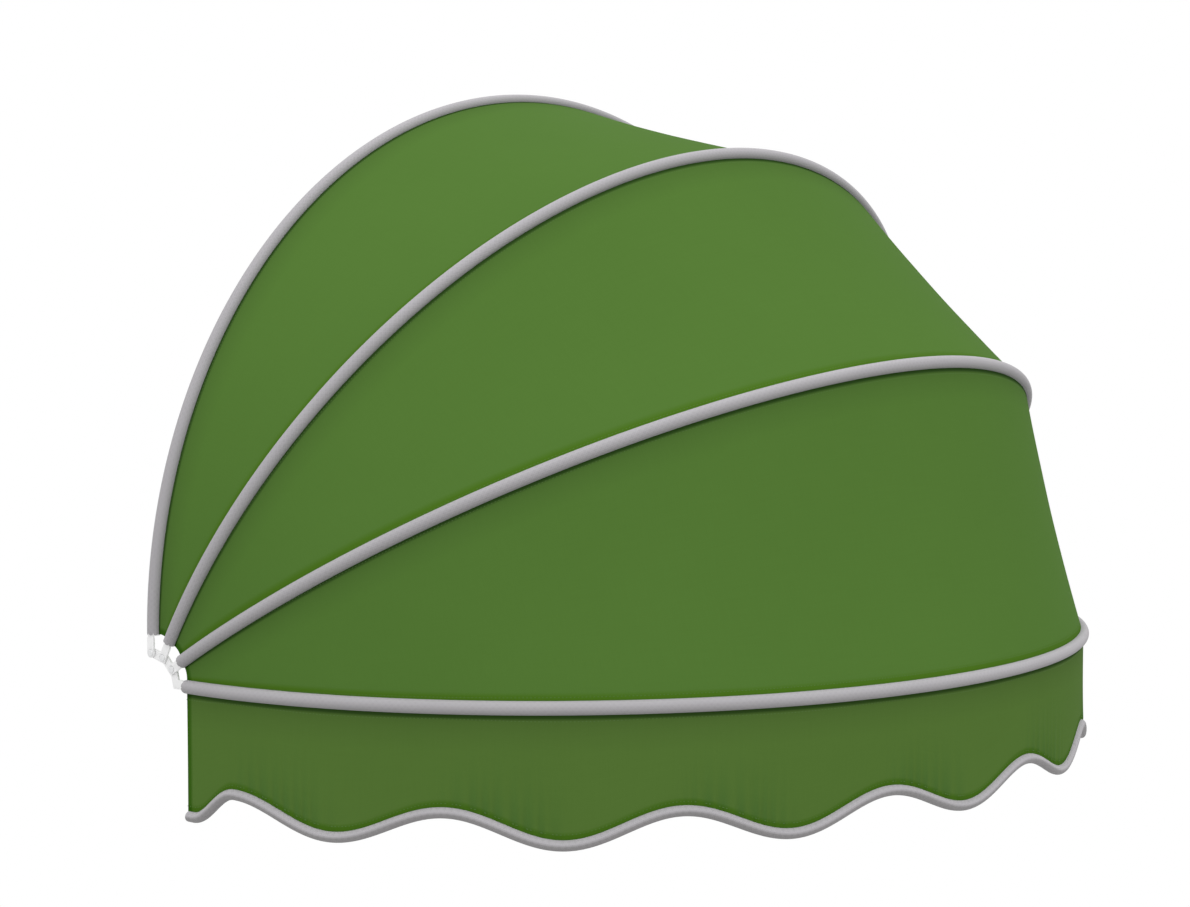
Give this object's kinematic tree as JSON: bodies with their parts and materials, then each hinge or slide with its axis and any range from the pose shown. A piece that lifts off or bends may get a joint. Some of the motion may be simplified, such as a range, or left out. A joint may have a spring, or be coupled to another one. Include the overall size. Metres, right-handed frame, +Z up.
{
  "type": "window awning",
  "caption": "Basket-shaped window awning: arched hoops fan out from the wall under taut cloth, with a scalloped valance and a piped hem, and fold up against the wall.",
  "frame": {"origin": "the place on the wall where the crown saddle bears, in the middle of the awning's width", "axes": "+Z up, +X along the wall to the right seen from outside, +Y into the wall; the awning stands out towards -Y"},
  "size_m": [1.8192, 0.9316, 1.109],
  "materials": {
    "cloth": "green woven acrylic awning cloth, matt, in a fine plain weave",
    "piping": "grey woven binding over a soft filler cord, with a fine diagonal rib",
    "hoop": "round aluminium tube in a close grey woven cover with a fine diagonal rib",
    "fitting": "white powder-coated steel, satin",
    "zinc": "zinc-plated steel, satin",
    "nylon": "natural white nylon"
  },
  "bodies": {
    "wall_frame": {"wall_hoop": "hoop", "wall_hoop_left_end": "fitting", "wall_hoop_right_end": "fitting", "hoop_2_left_pin": "zinc", "hoop_2_right_pin": "zinc", "pulley_strap": "zinc", "pulley_axle": "zinc", "crown_saddle": "fitting", "crown_screw": "zinc", "left_shoulder_saddle": "fitting", "left_shoulder_screw": "zinc", "right_shoulder_saddle": "fitting", "right_shoulder_screw": "zinc", "left_foot_saddle": "fitting", "left_foot_screw": "zinc", "right_foot_saddle": "fitting", "right_foot_screw": "zinc"},
    "bow_2": {"hoop_2": "hoop", "hoop_2_left_end": "fitting", "hoop_2_right_end": "fitting", "hoop_3_left_pin": "zinc", "hoop_3_right_pin": "zinc", "hoop_2_cord_eye": "zinc", "gore_1": "cloth"},
    "bow_3": {"hoop_3": "hoop", "hoop_3_left_end": "fitting", "hoop_3_right_end": "fitting", "front_hoop_left_pin": "zinc", "front_hoop_right_pin": "zinc", "hoop_3_cord_eye": "zinc", "gore_2": "cloth"},
    "front_bow": {"front_hoop": "hoop", "front_hoop_left_end": "fitting", "front_hoop_right_end": "fitting", "front_hoop_cord_eye": "zinc", "gore_3": "cloth", "valance": "cloth", "hem_piping": "piping"},
    "cord_wheel": {"pulley_wheel": "nylon"}
  },
  "joints": [
    {"name": "fold_1", "type": "hinge", "parent": "wall_frame", "child": "bow_2", "pos_m": [0, -0.0121, -0.84604], "axis": [-1, 0, 0], "range_deg": [0, 30], "deforming": ["gore_1"]},
    {"name": "fold_2", "type": "hinge", "parent": "bow_2", "child": "bow_3", "pos_m": [0, -0.0331, -0.85166], "axis": [-1, 0, 0], "range_deg": [0, 30], "deforming": ["gore_2"]},
    {"name": "fold_3", "type": "hinge", "parent": "bow_3", "child": "front_bow", "pos_m": [0, -0.04847, -0.86704], "axis": [-1, 0, 0], "range_deg": [0, 30], "deforming": ["gore_3"]},
    {"name": "wheel_turn", "type": "hinge", "parent": "wall_frame", "child": "cord_wheel", "pos_m": [0.08386, -0.0121, -0.00636], "axis": [0.996, 0, -0.0894], "continuous": true}
  ]
}
